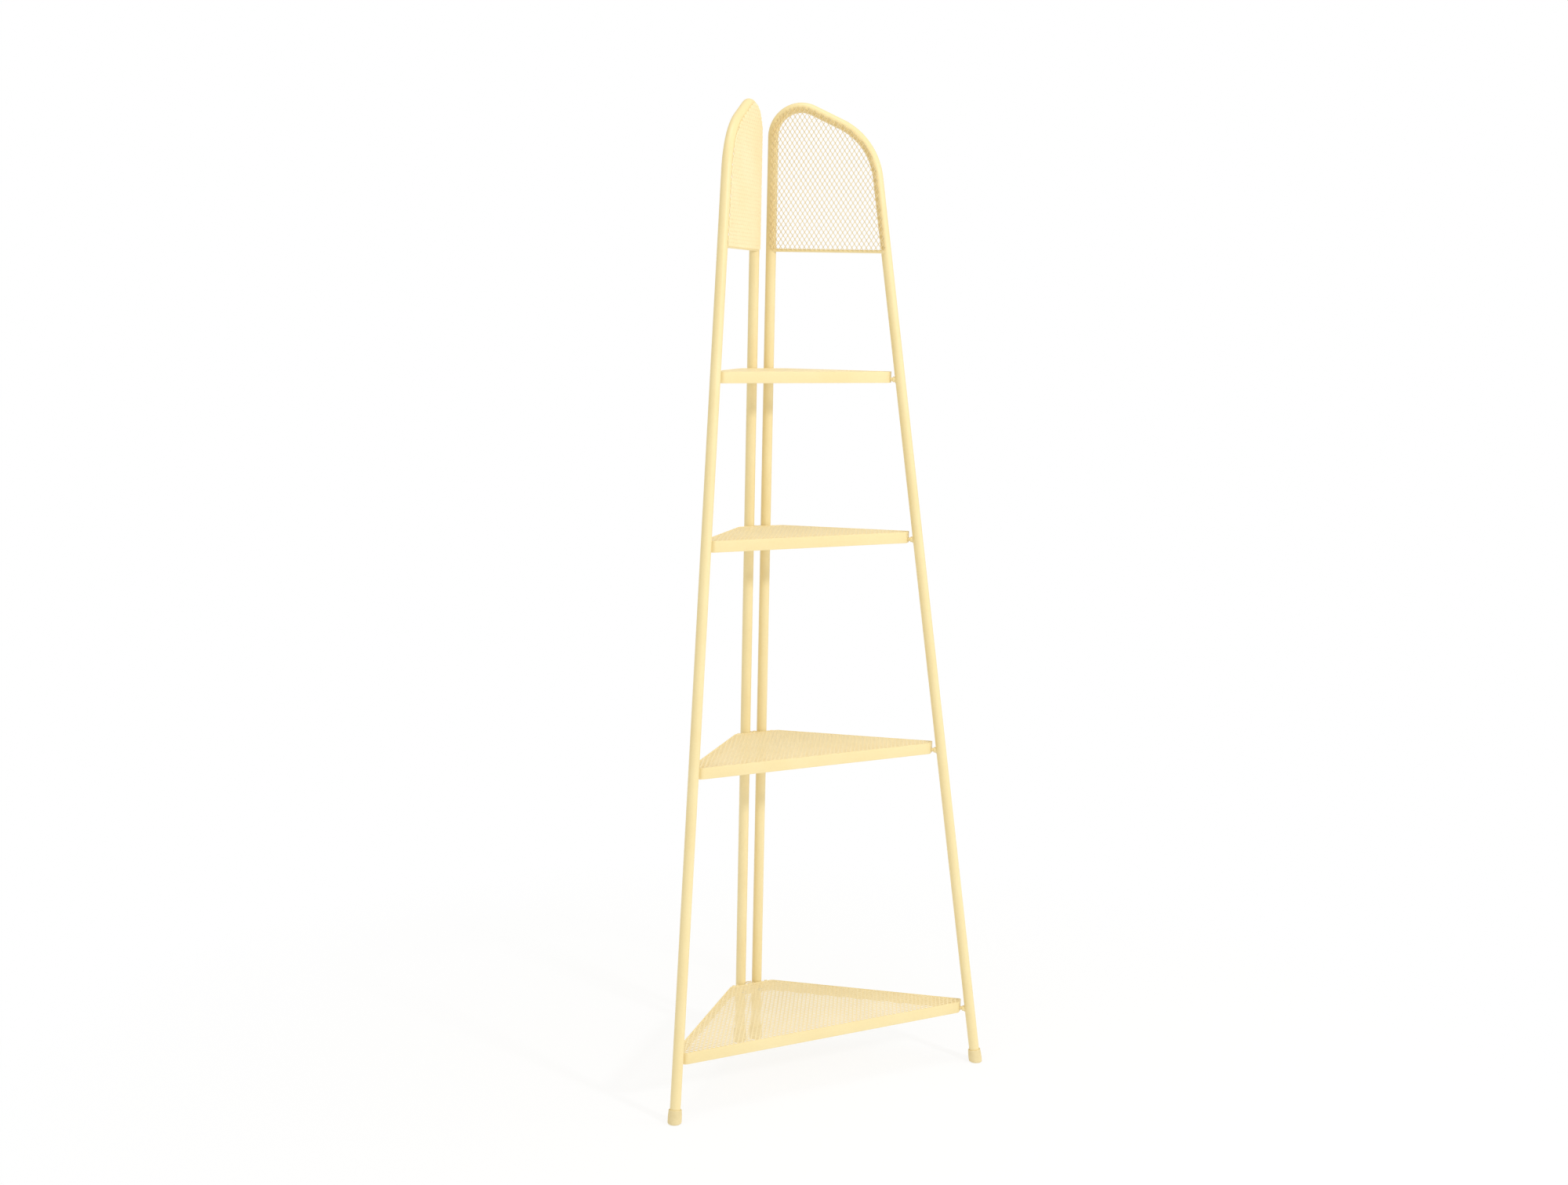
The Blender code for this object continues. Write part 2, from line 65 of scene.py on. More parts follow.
# Feet. The wall is a list of how far it lies inward and at what height.
FOOT_RADIUS = 0.0125
FOOT_HEIGHT = 0.025
FOOT_SOLE = 0.0045
FOOT_TAPER = 0.0007
FOOT_WALL = ((0.0, 0.0060), (0.0, 0.0110), (0.0002, 0.0160))
FOOT_WALL_END = 0.0035     # from the wall's last point up to the mouth
FOOT_SOLE_ROUND = 0.0034
FOOT_MOUTH_ROUND = 0.0012
FOOT_SOLE_RING = 0.0015    # width of the sole's flat ring next to its round
FOOT_LEVEL = 0.004         # up to here a leaning foot's points lie level with the floor
FOOT_LEVEL_FADE = 0.019    # and over this height they turn square to its own axis

# Panels
BAR_RADIUS = 0.003
BAR_SIDES = 24
BAR_WELD = 0.0012          # how much the weld swells the bar's end
BAR_WELD_FALL = 0.0011     # length over which the swelling falls to about a third
BAR_END_SHARE = 0.02       # share of the bar at each end that has the close rings
PANEL_HEIGHT = 0.2698
BAR_HEIGHT = HEIGHT - PANEL_HEIGHT

# Shelves, top to bottom
SHELVES = (("shelf_1", 1.312), ("shelf_2", 1.015), ("shelf_3", 0.617), ("shelf_4", 0.117))
SHEET = 0.0015
RIM_HEIGHT = 0.0182
RIM_THICKNESS = 0.0018
RIM_EDGE = 0.0006
TIP_WIDTH = 0.0226
TIP_RADIUS = 0.004
FRONT_CORNER_RADIUS = 0.010
REAR_CORNER_RADIUS = 0.010
CORNER_STEPS = 14

# Expanded metal: one opening to the next across and along, and the strand between them. A tilt is the slope
# of a strand against its sheet: the panels' strands are narrow and lean, the shelves' are wide and lie flat.
SHORT_WAY = 0.00905
LONG_WAY = 0.0135
PANEL_STRAND = 0.00142
SHELF_STRAND = 0.0024
STRAND_THICKNESS = 0.0010
PANEL_TILT = 0.8
SHELF_TILT = 0.1
STRAND_BOW = 0.1           # how far an opening's sides bow out, as a share of the strand
SHEET_RISE = 0.0003        # the tilted strands are deeper than a plain sheet, so their middle is further off
SHEET_SET_IN = 0.0016      # edge of a shelf's expanded metal inward of the rim's outer face
RIM_LIP = 0.0026           # the rim's bead, up the cut edge of the expanded metal
SHEET_OVER = 0.0015        # edge of a panel's expanded metal outward of the tube's axis
EAR_REACH = 0.008          # expanded metal behind the cut corner, outside the uprights
TONGUE_REACH = 0.017       # and between them
TONGUE_HALF = 0.0078
TRIM_REACH = 0.01          # how far the prism that trims a sheet reaches to each side of it

# Bosses, rivet nuts and bolts
BOLT_DROP = 0.0136
BOSS_LENGTH = 0.0095
BOSS_RADIUS = 0.0052
NECK_RADIUS = 0.0035
NECK_LENGTH = 0.0045
BOSS_ROUND = 0.0005
BOSS_LAST_RING = 0.0011    # from the ring before the round to the body's end
NECK_CHAMFER = 0.0003
BOSS_SUNK = 0.0012         # how far the boss's foot reaches under the leg's surface
WELD = 0.0015
WELD_SUNK = 0.0006
NUT_FLANGE = 0.0008
NUT_FLANGE_RADIUS = 0.005
NUT_CHAMFER = 0.0002
NUT_BORE_SPARE = 0.0006    # from the bolt's end to the end of the bore
NUT_RADIUS = 0.0035
NUT_LENGTH = 0.0105
BOLT_RADIUS = 0.0025
BOLT_HEAD_RADIUS = 0.00425
BOLT_HEAD_HEIGHT = 0.0028
BOLT_HEAD_ROUND = 0.0021   # width of the head's round shoulder
BOLT_HEAD_SHOULDER = 0.78  # and its share of the head's height
BOLT_GRIP = 0.0045
REAR_BOLT_GRIP = 0.0085
KEY_RADIUS = 0.0018        # the round key recess in a bolt's crown
KEY_DEPTH = 0.0014

# Floor: its size, the share of it that shines by itself, and the distances over which it turns all white
FLOOR_FIRST_RING = 0.4
FLOOR_REACH = 6.0
FLOOR_RINGS = 12
FLOOR_SIDES = 64
FLOOR_DROP = 0.0004
FLOOR_SHINE = 0.8
FLOOR_FADE_FROM = 0.55
FLOOR_FADE_TO = 1.5

# Light: the room's, then each lamp's name, place, aim, size, power in watts and colour
ROOM_COLOUR = (1, 0.95, 0.80, 1)
ROOM_STRENGTH = 0.72
LAMPS = (
    ("key", (1.0, -4.9, 3.2), (0, 0, 0.9), 0.5, 92, (0.95, 0.97, 1.02)),
    ("side", (3.4, -2.4, 1.7), (0, 0, 0.9), 2.4, 18, (0.98, 0.97, 0.96)),
    ("top", (-0.8, -0.7, 7.5), (0, 0, 0.0), 3.0, 125, (0.98, 1.0, 1.05)),
)

# Camera, fitted to the outlines in the photograph
CAMERA_PLACE = (-2.0081, -3.2709, 1.4401)
CAMERA_YAW = math.radians(31.147)
CAMERA_PITCH = math.radians(-7.919)
CAMERA_ROLL = math.radians(-1.204)
CAMERA_LENS = 48.24
CAMERA_SENSOR = 36

# Worked out: the frames' distance from their walls, the leg's slope, the corner's y with the depth centred,
# the uprights' axes from the corner, and the cut corner's distance from it
FRAME_PLANE = FOOT_RADIUS
SLOPE = math.tan(LEG_LEAN)
CORNER_Y = (
    (FRONT_REACH + FRAME_PLANE + FOOT_RADIUS * math.hypot(1, 1 / math.cos(LEG_LEAN))) / ROOT_TWO
    + (REAR_REACH + FRAME_PLANE) / ROOT_TWO - FOOT_RADIUS
) / 2
UPRIGHT_X = (REAR_REACH - FRAME_PLANE) / ROOT_TWO
UPRIGHT_Y = (REAR_REACH + FRAME_PLANE) / ROOT_TWO
STRIP_Y = UPRIGHT_Y + TUBE_RADIUS + NUT_FLANGE + 2 * GAP
SIDES = (("left", -1), ("right", 1))


def place(hand, s, t, z):
    """Side axes to the model's: x is the hand times (s - t) over root two, and y falls with s + t from the
    corner."""
    s, t, z = np.broadcast_arrays(s, t, z)
    return np.stack([hand * (s - t) / ROOT_TWO, CORNER_Y - (s + t) / ROOT_TWO, z], axis=-1)


def heading(hand, s, t):
    """A level direction of a side's axes, turned to the model's."""
    return place(hand, s, t, 0) - place(hand, 0, 0, 0)


def grid_faces(rows, columns, closed_rows):
    """The quads of a grid of points numbered row by row. Each row is closed, and the last row is joined to
    the first where the rows are closed too."""
    i = np.arange(rows if closed_rows else rows - 1)[:, None]
    j = np.arange(columns)[None, :]
    below = (i + 1) % rows
    beside = (j + 1) % columns
    corners = [i * columns + j, i * columns + beside, below * columns + beside, below * columns + j]
    return np.stack(np.broadcast_arrays(*corners), axis=-1).reshape(-1, 4)


def solid(name, points, faces, sharp=35):
    """One closed mesh object at the origin: doubles merged, faces turned outward, edges over an angle kept
    sharp."""
    points = np.asarray(points, dtype=np.float32).reshape(-1, 3)
    mesh = bpy.data.meshes.new(name)
    mesh.from_pydata(points, [], faces.tolist())
    work = bmesh.new()
    work.from_mesh(mesh)
    bmesh.ops.remove_doubles(work, verts=work.verts, dist=1e-6)
    bmesh.ops.recalc_face_normals(work, faces=work.faces)
    work.to_mesh(mesh)
    work.free()
    mesh.shade_smooth()
    mesh.set_sharp_from_angle(angle=math.radians(sharp))
    made = bpy.data.objects.new(name, mesh)
    bpy.context.scene.collection.objects.link(made)
    return made


def finished(piece, look, slot, *nodes):
    """Gives a piece its material, sets it on the body and hides the CAD nodes that it stands for. The slot is
    not used.
    """
    piece.data.materials.clear()
    piece.data.materials.append(look)
    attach(piece, "root")
    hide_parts(*nodes)


def bend(centre, radius, start, end, steps):
    """Points centre + radius (cos a, sin a) for a from start to end."""
    a = np.linspace(start, end, steps + 1)
    return np.stack([centre[0] + radius * np.cos(a), centre[1] + radius * np.sin(a)], axis=-1)


def leg_reach(height):
    """Place of the leaning leg's axis along s at a height."""
    return FRONT_REACH - SLOPE * height


def tube_line(foot_height):
    """The tube's axis as (s, z): up the rear, round the rear bend, down the slope, round the front bend and
    down the leaning leg. The straight runs are tangent to both bends."""
    crown = HEIGHT - TUBE_RADIUS
    quarter = math.pi / 2
    rear = bend((REAR_REACH + REAR_BEND_RADIUS, crown - REAR_BEND_RADIUS), REAR_BEND_RADIUS,
                math.pi, quarter - TOP_FALL, REAR_BEND_STEPS)
    fall = math.tan(TOP_FALL)
    s0, z0 = rear[-1]
    meet_s = (z0 + fall * s0 - FRONT_REACH / SLOPE) / (fall - 1 / SLOPE)
    meet_z = z0 - fall * (meet_s - s0)
    run = FRONT_BEND_RADIUS * math.tan((quarter - TOP_FALL - LEG_LEAN) / 2)
    s1 = meet_s - (run * math.cos(TOP_FALL) + FRONT_BEND_RADIUS * math.sin(TOP_FALL))
    z1 = meet_z + run * math.sin(TOP_FALL) - FRONT_BEND_RADIUS * math.cos(TOP_FALL)
    front = bend((s1, z1), FRONT_BEND_RADIUS, quarter - TOP_FALL, LEG_LEAN, FRONT_BEND_STEPS)
    return np.vstack([[REAR_REACH, foot_height], rear, front, [leg_reach(foot_height), foot_height]])


def along(line):
    """Unit directions of an open (s, z) line at its points, the mean of the two runs that meet there."""
    runs = np.diff(line, axis=0)
    runs /= np.linalg.norm(runs, axis=1, keepdims=True)
    ways = np.vstack([runs[:1], runs[:-1] + runs[1:], runs[-1:]])
    return ways / np.linalg.norm(ways, axis=1, keepdims=True)


def frame_tube(side, hand):
    """A ring of radius r carried along the axis: axis + r (cos a) across + r (sin a) in t. The outer skin
    runs along the tube and the inner skin back, which closes both ends with a wall."""
    line = tube_line(FOOT_SOLE + GAP)
    ways = along(line)
    a = np.linspace(0, 2 * math.pi, TUBE_SIDES, endpoint=False)
    skins = []
    for radius, order in ((TUBE_RADIUS, 1), (TUBE_RADIUS - TUBE_WALL, -1)):
        s = line[:, :1] - ways[:, 1:] * radius * np.cos(a)
        z = line[:, 1:] + ways[:, :1] * radius * np.cos(a)
        t = FRAME_PLANE + radius * np.sin(a) + 0 * s
        skins.append(place(hand, s, t, z)[::order])
    points = np.concatenate(skins)
    name = f"{side}_frame_tube"
    return solid(f"{name}_skin", points, grid_faces(len(points), TUBE_SIDES, True))


def turned(name, profile, origin, axis, across, sides, sharp, drape=None):
    """Turns a profile of (radius, height) about an axis: origin + height axis + radius (cos a, sin a) in the
    plane across. drape adds a height of its own to each point, from its radius and angle."""
    profile = np.asarray(profile, dtype=float)
    a = np.linspace(0, 2 * math.pi, sides, endpoint=False)
    axis = np.asarray(Vector(axis).normalized())
    one = np.asarray(Vector(across).normalized())
    two = np.cross(axis, one)
    radius = profile[:, :1, None]
    height = profile[:, 1:2, None] + np.zeros((1, sides, 1))
    if drape:
        height = height + drape(profile[:, :1], profile[:, 1:2], a[None, :])[..., None]
    turn = np.cos(a)[None, :, None] * one + np.sin(a)[None, :, None] * two
    points = np.asarray(origin) + height * axis + radius * turn
    return solid(name, points, grid_faces(len(profile), sides, False), sharp)


def fillet(centre, radius, start, end, steps=6):
    """(radius, height) points of a quarter round in a profile, angles in degrees."""
    return [tuple(p) for p in bend(centre, radius, math.radians(start), math.radians(end), steps)]


def foot(side, hand, end, reach, lean):
    """A moulded cap: a sole with a full round, a wall that draws in towards the mouth, and the bore. Near the
    sole the heights are set from the floor, so that a leaning cap still stands level."""
    mouth = FOOT_RADIUS - FOOT_TAPER
    bore = TUBE_RADIUS + GAP
    profile = [(0, 0), (FOOT_RADIUS - FOOT_SOLE_ROUND - FOOT_SOLE_RING, 0)]
    profile += fillet((FOOT_RADIUS - FOOT_SOLE_ROUND, FOOT_SOLE_ROUND), FOOT_SOLE_ROUND, -90, 0)
    profile += [(FOOT_RADIUS - inward, height) for inward, height in FOOT_WALL]
    profile += [(mouth, FOOT_HEIGHT - FOOT_WALL_END)]
    profile += fillet((mouth - FOOT_MOUTH_ROUND, FOOT_HEIGHT - FOOT_MOUTH_ROUND), FOOT_MOUTH_ROUND, 0, 90)
    profile += [(bore + CHAMFER, FOOT_HEIGHT), (bore, FOOT_HEIGHT - CHAMFER), (bore, FOOT_SOLE),
                (0, FOOT_SOLE)]
    way = heading(hand, -math.sin(lean), 0)
    axis = (way[0], way[1], math.cos(lean))
    out = heading(hand, 1, 0)
    across = (out[0] * math.cos(lean), out[1] * math.cos(lean), math.sin(lean))

    def level(radius, height, a):
        near = np.clip(1 - (height - FOOT_LEVEL) / FOOT_LEVEL_FADE, 0, 1)
        return -near * radius * np.cos(a) * math.tan(lean)

    name = f"{side}_{end}_foot"
    origin = place(hand, reach, FRAME_PLANE, 0)
    return turned(f"{name}_cap", profile, origin, axis, across, sides=TUBE_SIDES, sharp=40, drape=level)


def panel_bar(side, hand):
    """A round bar along s whose ends follow the round of both tubes, with a weld that swells its last
    millimetres by a falling exponential."""
    t0 = FRAME_PLANE + TUBE_RADIUS - BAR_RADIUS
    far = leg_reach(BAR_HEIGHT)
    a = np.linspace(0, 2 * math.pi, BAR_SIDES, endpoint=False)
    near_end = np.linspace(0, BAR_END_SHARE, 9)
    far_end = np.linspace(1 - BAR_END_SHARE, 1, 9)
    share = np.concatenate([near_end, [0.5], far_end])[:, None]
    length = far - REAR_REACH - 2 * TUBE_RADIUS
    nearest = np.minimum(share, 1 - share) * length
    radius = BAR_RADIUS + BAR_WELD * np.exp(-nearest / BAR_WELD_FALL)
    t = np.minimum(t0 + radius * np.cos(a), FRAME_PLANE + TUBE_RADIUS)
    rise = radius * np.sin(a)
    depth = np.sqrt(np.maximum(TUBE_RADIUS ** 2 - (t - FRAME_PLANE) ** 2, 0)) - GAP
    begin = REAR_REACH + depth
    end = far - SLOPE * rise - depth
    s = begin + share * (end - begin)
    rings = place(hand, s, t, BAR_HEIGHT + rise)
    middle = rings.mean(axis=1, keepdims=True) + np.zeros((1, BAR_SIDES, 1))
    points = np.concatenate([middle[:1], rings, middle[-1:]])
    name = f"{side}_panel_bar"
    return solid(f"{name}_rod", points, grid_faces(len(points), BAR_SIDES, False))


def expanded(low, high, strand, tilt):
    """A raised sheet of expanded metal as (along, across, height) points and faces over a rectangle.

    Diamonds LONG_WAY by SHORT_WAY tile it, every second row moved by half a diamond. A diamond's edges are
    the middles of its four strands, at height zero. Its opening is the same diamond drawn in by half the
    strand's width, with its sides bowed out by STRAND_BOW of it. The opening's near half is raised and its
    far half lowered by the tilt times their distance from the strand's middle, so each strand lies tilted.
    The lower skin is the upper one moved down by STRAND_THICKNESS, with walls round every opening and round
    the sheet."""
    half_long = LONG_WAY / 2
    half_short = SHORT_WAY / 2
    slant = math.hypot(half_long, half_short)
    columns = math.ceil((high[0] - low[0]) / LONG_WAY) + 2
    rows = 2 * (math.ceil((high[1] - low[1]) / SHORT_WAY) + 1)
    row = np.arange(rows + 1)
    column = np.arange(columns + 1)
    i, j = np.meshgrid(column, row, indexing="ij")
    i = i.ravel()
    j = j.ravel()
    kept = (j % 2 == 0) | (i < columns)
    i = i[kept]
    j = j[kept]
    ring = np.array([(2, 0), (1, 1), (0, 2), (-1, 1), (-2, 0), (-1, -1), (0, -2), (1, -1)])
    quarter_x = 4 * i + 2 * (j % 2)
    quarter_y = 2 * j
    lattice = np.stack([quarter_x, quarter_y], axis=-1)[:, None, :] + ring[None, :, :]
    flat_lattice = lattice.reshape(-1, 2)
    spots, edge_index = np.unique(flat_lattice, axis=0, return_inverse=True)
    edge_index = edge_index.reshape(-1, 8)
    scale = np.array([half_long / 2, half_short / 2])
    edge_points = spots * scale

    drawn_long = 1 - (strand / 2) * slant / half_short / half_long
    bow = 1 + STRAND_BOW * strand / (slant / 2)
    inner = ring * scale * drawn_long
    inner[1::2] *= bow
    lift = np.where(ring[:, 1] == 0, 0, -np.sign(ring[:, 1])) * tilt * (strand / 2) * slant / half_long
    centres = np.stack([quarter_x, quarter_y], axis=-1) * scale
    opening_points = (centres[:, None, :] + inner[None, :, :]).reshape(-1, 2)
    opening_lift = np.tile(lift, len(centres))

    corner = np.array([low[0] - LONG_WAY, low[1] - SHORT_WAY / 2])
    flat_points = np.vstack([edge_points, opening_points]) + corner
    rise = np.concatenate([np.zeros(len(edge_points)), opening_lift])
    opening_index = len(edge_points) + np.arange(len(centres) * 8).reshape(-1, 8)
    after = np.roll(np.arange(8), -1)
    top = np.stack([edge_index, edge_index[:, after], opening_index[:, after], opening_index], axis=-1)
    top = top.reshape(-1, 4)
    count = len(flat_points)
    wall = np.stack([opening_index, opening_index[:, after], opening_index[:, after] + count,
                     opening_index + count], axis=-1).reshape(-1, 4)
    one = edge_index.ravel()
    two = edge_index[:, after].ravel()
    forward = one * count + two
    backward = two * count + one
    rim = ~np.isin(forward, backward)
    skirt = np.stack([two[rim], one[rim], one[rim] + count, two[rim] + count], axis=-1)
    faces = np.vstack([top, top[:, ::-1] + count, wall, skirt])
    upper = np.column_stack([flat_points, rise + STRAND_THICKNESS / 2])
    lower = np.column_stack([flat_points, rise - STRAND_THICKNESS / 2])
    return np.vstack([upper, lower]), faces


def trimmed(sheet, outline, way):
    """Keeps the part of a sheet inside a prism, which is the outline moved both ways along a direction and
    capped."""
    outline = np.asarray(outline)
    count = len(outline)
    way = np.asarray(way)
    points = np.vstack([outline - way, outline + way])
    mesh = bpy.data.meshes.new("trim")
    sides = grid_faces(2, count, False).tolist()
    mesh.from_pydata(points, [], sides + [list(range(count)), list(range(2 * count - 1, count - 1, -1))])
    work = bmesh.new()
    work.from_mesh(mesh)
    bmesh.ops.recalc_face_normals(work, faces=work.faces)
    work.to_mesh(mesh)
    work.free()
    prism = bpy.data.objects.new("trim", mesh)
    bpy.context.scene.collection.objects.link(prism)
    meet = sheet.modifiers.new("trim", "BOOLEAN")
    meet.operation = "INTERSECT"
    meet.solver = "MANIFOLD"
    meet.object = prism
    bpy.context.view_layer.update()
    cut = bpy.data.meshes.new_from_object(sheet.evaluated_get(bpy.context.evaluated_depsgraph_get()))
    sheet.modifiers.clear()
    old = sheet.data
    sheet.data = cut
    bpy.data.meshes.remove(old)
    bpy.data.objects.remove(prism, do_unlink=True)
    bpy.data.meshes.remove(mesh)
    return sheet


def panel_mesh(side, hand):
    """Expanded metal on the room side of the tube and the bar, long way upright. It is trimmed along a line
    SHEET_OVER outside the tube's axis: each point of the axis moved square to the tube's way there."""
    border = tube_line(BAR_HEIGHT)
    ways = along(border)
    border = border + np.stack([-ways[:, 1], ways[:, 0]], axis=-1) * SHEET_OVER
    low = (border[:, 1].min(), border[:, 0].min())
    high = (border[:, 1].max(), border[:, 0].max())
    points, faces = expanded(low, high, PANEL_STRAND, hand * PANEL_TILT)
    t0 = FRAME_PLANE + TUBE_RADIUS + GAP + SHEET / 2 + SHEET_RISE
    name = f"{side}_panel_mesh"
    upright = place(hand, points[:, 1], t0 + points[:, 2], points[:, 0])
    sheet = solid(f"{name}_sheet", upright, faces, sharp=40)
    return trimmed(sheet, place(hand, border[:, 0], t0, border[:, 1]), heading(hand, 0, TRIM_REACH))


def tip_reach(height):
    """Place along s of the flat end that a shelf turns towards each leg."""
    return leg_reach(height - BOLT_DROP) - TUBE_RADIUS - BOSS_LENGTH


def shelf_outline(height):
    """A shelf's outline and its outward directions, counter-clockwise from the front left: the straight
    front, a flat end at each leg, the edges along the walls and the corner cut off, with a round of its own
    radius at each corner."""
    tip = tip_reach(height)
    front_y = (tip + TIP_WIDTH) / ROOT_TWO
    front_x = (tip - TIP_WIDTH) / ROOT_TWO
    wall = tip / ROOT_TWO
    corners = np.array([(-front_x, -front_y), (front_x, -front_y), (wall, -wall), (STRIP_Y, -STRIP_Y),
                        (-STRIP_Y, -STRIP_Y), (-wall, -wall)])
    radii = (FRONT_CORNER_RADIUS, FRONT_CORNER_RADIUS, TIP_RADIUS, REAR_CORNER_RADIUS, REAR_CORNER_RADIUS,
             TIP_RADIUS)
    points = []
    ways = []
    for k, radius in enumerate(radii):
        before = corners[k - 1] - corners[k]
        after = corners[(k + 1) % len(corners)] - corners[k]
        before /= np.linalg.norm(before)
        after /= np.linalg.norm(after)
        half = math.acos(before @ after) / 2
        middle = (before + after) / np.linalg.norm(before + after)
        centre = corners[k] + middle * radius / math.sin(half)
        first = corners[k] + before * radius / math.tan(half) - centre
        start = math.atan2(first[1], first[0])
        a = np.linspace(start, start + math.pi - 2 * half, CORNER_STEPS + 1)
        turn = np.stack([np.cos(a), np.sin(a)], axis=-1)
        points.append(centre + radius * turn)
        ways.append(turn)
    return np.concatenate(points) + (0, CORNER_Y), np.concatenate(ways)


def shelf_rim(name, height):
    """A flat bar on edge, bent round the outline: a rounded rectangle carried along it, set inward by its
    thickness. Its top rises by RIM_LIP around the expanded metal, whose strands end inside it."""
    outline, ways = shelf_outline(height)
    top = height - SHEET - GAP + RIM_LIP
    low = height - SHEET - GAP - RIM_HEIGHT
    e = RIM_EDGE
    section = fillet((RIM_THICKNESS - e, top - e), e, 0, 90, 4) + fillet((e, top - e), e, 90, 180, 4)
    section += fillet((e, low + e), e, 180, 270, 4) + fillet((RIM_THICKNESS - e, low + e), e, 270, 360, 4)
    section = np.array(section)
    flat = outline[:, None, :] - ways[:, None, :] * section[None, :, :1]
    z = section[None, :, 1] + 0 * flat[..., 0]
    points = np.concatenate([flat, z[..., None]], axis=-1)
    return solid(f"{name}_rim_band", points, grid_faces(len(outline), len(section), True), sharp=40)


def shelf_mesh(name, height):
    """Expanded metal on top of the rim, long way from front to back, trimmed SHEET_SET_IN inward of the rim's
    outer face. Behind the cut corner a tongue of it reaches between the uprights and an ear past each of them
    on the outside."""
    outline, ways = shelf_outline(height)
    edge = outline - ways * SHEET_SET_IN
    strip = CORNER_Y - STRIP_Y - SHEET_SET_IN
    beside = UPRIGHT_X + TUBE_RADIUS + 2 * GAP
    behind = [(STRIP_Y - EAR_REACH, strip + EAR_REACH), (beside, strip + EAR_REACH), (beside, strip),
              (TONGUE_HALF, strip), (TONGUE_HALF, strip + TONGUE_REACH)]
    behind += [(-x, y) for x, y in reversed(behind)]
    straight = np.flatnonzero(np.abs(edge[:, 1] - edge[:, 1].max()) < 1e-6)
    edge = np.concatenate([edge[:straight[0] - CORNER_STEPS], behind, edge[straight[-1] + CORNER_STEPS + 1:]])
    low = (edge[:, 1].min(), edge[:, 0].min())
    high = (edge[:, 1].max(), edge[:, 0].max())
    points, faces = expanded(low, high, SHELF_STRAND, SHELF_TILT)
    z0 = height - SHEET / 2 + SHEET_RISE
    level = np.stack([points[:, 1], points[:, 0], z0 + points[:, 2]], axis=-1)
    sheet = solid(f"{name}_mesh_sheet", level, faces, sharp=40)
    flat = np.column_stack([edge, np.full(len(edge), z0)])
    return trimmed(sheet, flat, (0, 0, TRIM_REACH))


def bolt_head(base):
    """Profile of a button head over a seat at base: a flat crown, a round shoulder, a short wall."""
    crown = base + BOLT_HEAD_HEIGHT
    shoulder = BOLT_HEAD_HEIGHT * BOLT_HEAD_SHOULDER
    flat = BOLT_HEAD_RADIUS - BOLT_HEAD_ROUND
    arc = np.linspace(0, math.pi / 2, 9)
    return [(flat + BOLT_HEAD_ROUND * math.sin(a), crown - shoulder * (1 - math.cos(a))) for a in arc]


def bolt(name, origin, axis, reach):
    """A button-head bolt from the end of its shank up its axis, with a round key recess in the crown."""
    crown = reach + BOLT_HEAD_HEIGHT
    profile = [(0, crown - KEY_DEPTH), (KEY_RADIUS, crown - KEY_DEPTH), (KEY_RADIUS, crown)]
    profile += bolt_head(reach)
    profile += [(BOLT_HEAD_RADIUS, reach), (BOLT_RADIUS, reach), (BOLT_RADIUS, CHAMFER),
                (BOLT_RADIUS - CHAMFER, 0), (0, 0)]
    return turned(name, profile, origin, axis, (0, 0, 1), sides=36, sharp=30)


def boss(name, hand, leg, height):
    """A turned boss along s from the leg to the shelf: it flares into its weld on the round of the leg, runs
    at full width, and steps down to a neck. Its profile's heights are from the leg's axis."""
    foot_at = TUBE_RADIUS - BOSS_SUNK
    weld_at = TUBE_RADIUS - WELD_SUNK
    reach = TUBE_RADIUS + BOSS_LENGTH - GAP
    body_end = reach - NECK_LENGTH
    bore = BOLT_RADIUS + GAP
    profile = [(BOSS_RADIUS + WELD, foot_at)]
    profile += [(BOSS_RADIUS + WELD * (1 - math.sin(b)), weld_at + WELD * (1 - math.cos(b)))
                for b in np.linspace(0, math.pi / 2, 6)]
    profile += [(BOSS_RADIUS, body_end - BOSS_LAST_RING)]
    profile += fillet((BOSS_RADIUS - BOSS_ROUND, body_end - BOSS_ROUND), BOSS_ROUND, 0, 90, 3)
    profile += [(NECK_RADIUS + CHAMFER, body_end), (NECK_RADIUS, body_end + CHAMFER),
                (NECK_RADIUS, reach - NECK_CHAMFER), (NECK_RADIUS - NECK_CHAMFER, reach), (bore, reach),
                (bore, reach - BOLT_GRIP), (0, reach - BOLT_GRIP), (0, foot_at)]
    profile.append(profile[0])

    def saddle(radius, rise, a):
        near = np.clip(1 - (rise - TUBE_RADIUS) / (BOSS_LENGTH / 2), 0, 1)
        aside = radius * np.cos(a)
        round_of_leg = np.sqrt(np.maximum(TUBE_RADIUS ** 2 - aside ** 2, 0)) - TUBE_RADIUS
        up = radius * np.sin(a) * (1 if hand < 0 else -1)
        return near * (round_of_leg + up * SLOPE)

    origin = place(hand, leg, FRAME_PLANE, height)
    return turned(name, profile, origin, heading(hand, -1, 0), heading(hand, 0, 1), sides=40, sharp=40,
                  drape=saddle)


def rivet_nut(name, x, y, z):
    """A rivet nut in the upright: a thin flange against the tube and a round body inside it."""
    bore = BOLT_RADIUS + GAP
    bore_end = -REAR_BOLT_GRIP - NUT_BORE_SPARE
    profile = [(0, bore_end), (bore, bore_end), (bore, 0), (NUT_FLANGE_RADIUS - NUT_CHAMFER, 0),
               (NUT_FLANGE_RADIUS, -NUT_CHAMFER), (NUT_FLANGE_RADIUS, -NUT_FLANGE),
               (NUT_RADIUS, -NUT_FLANGE), (NUT_RADIUS, -NUT_LENGTH), (0, -NUT_LENGTH)]
    return turned(name, profile, (x, y, z), (0, -1, 0), (1, 0, 0), sides=32, sharp=30)


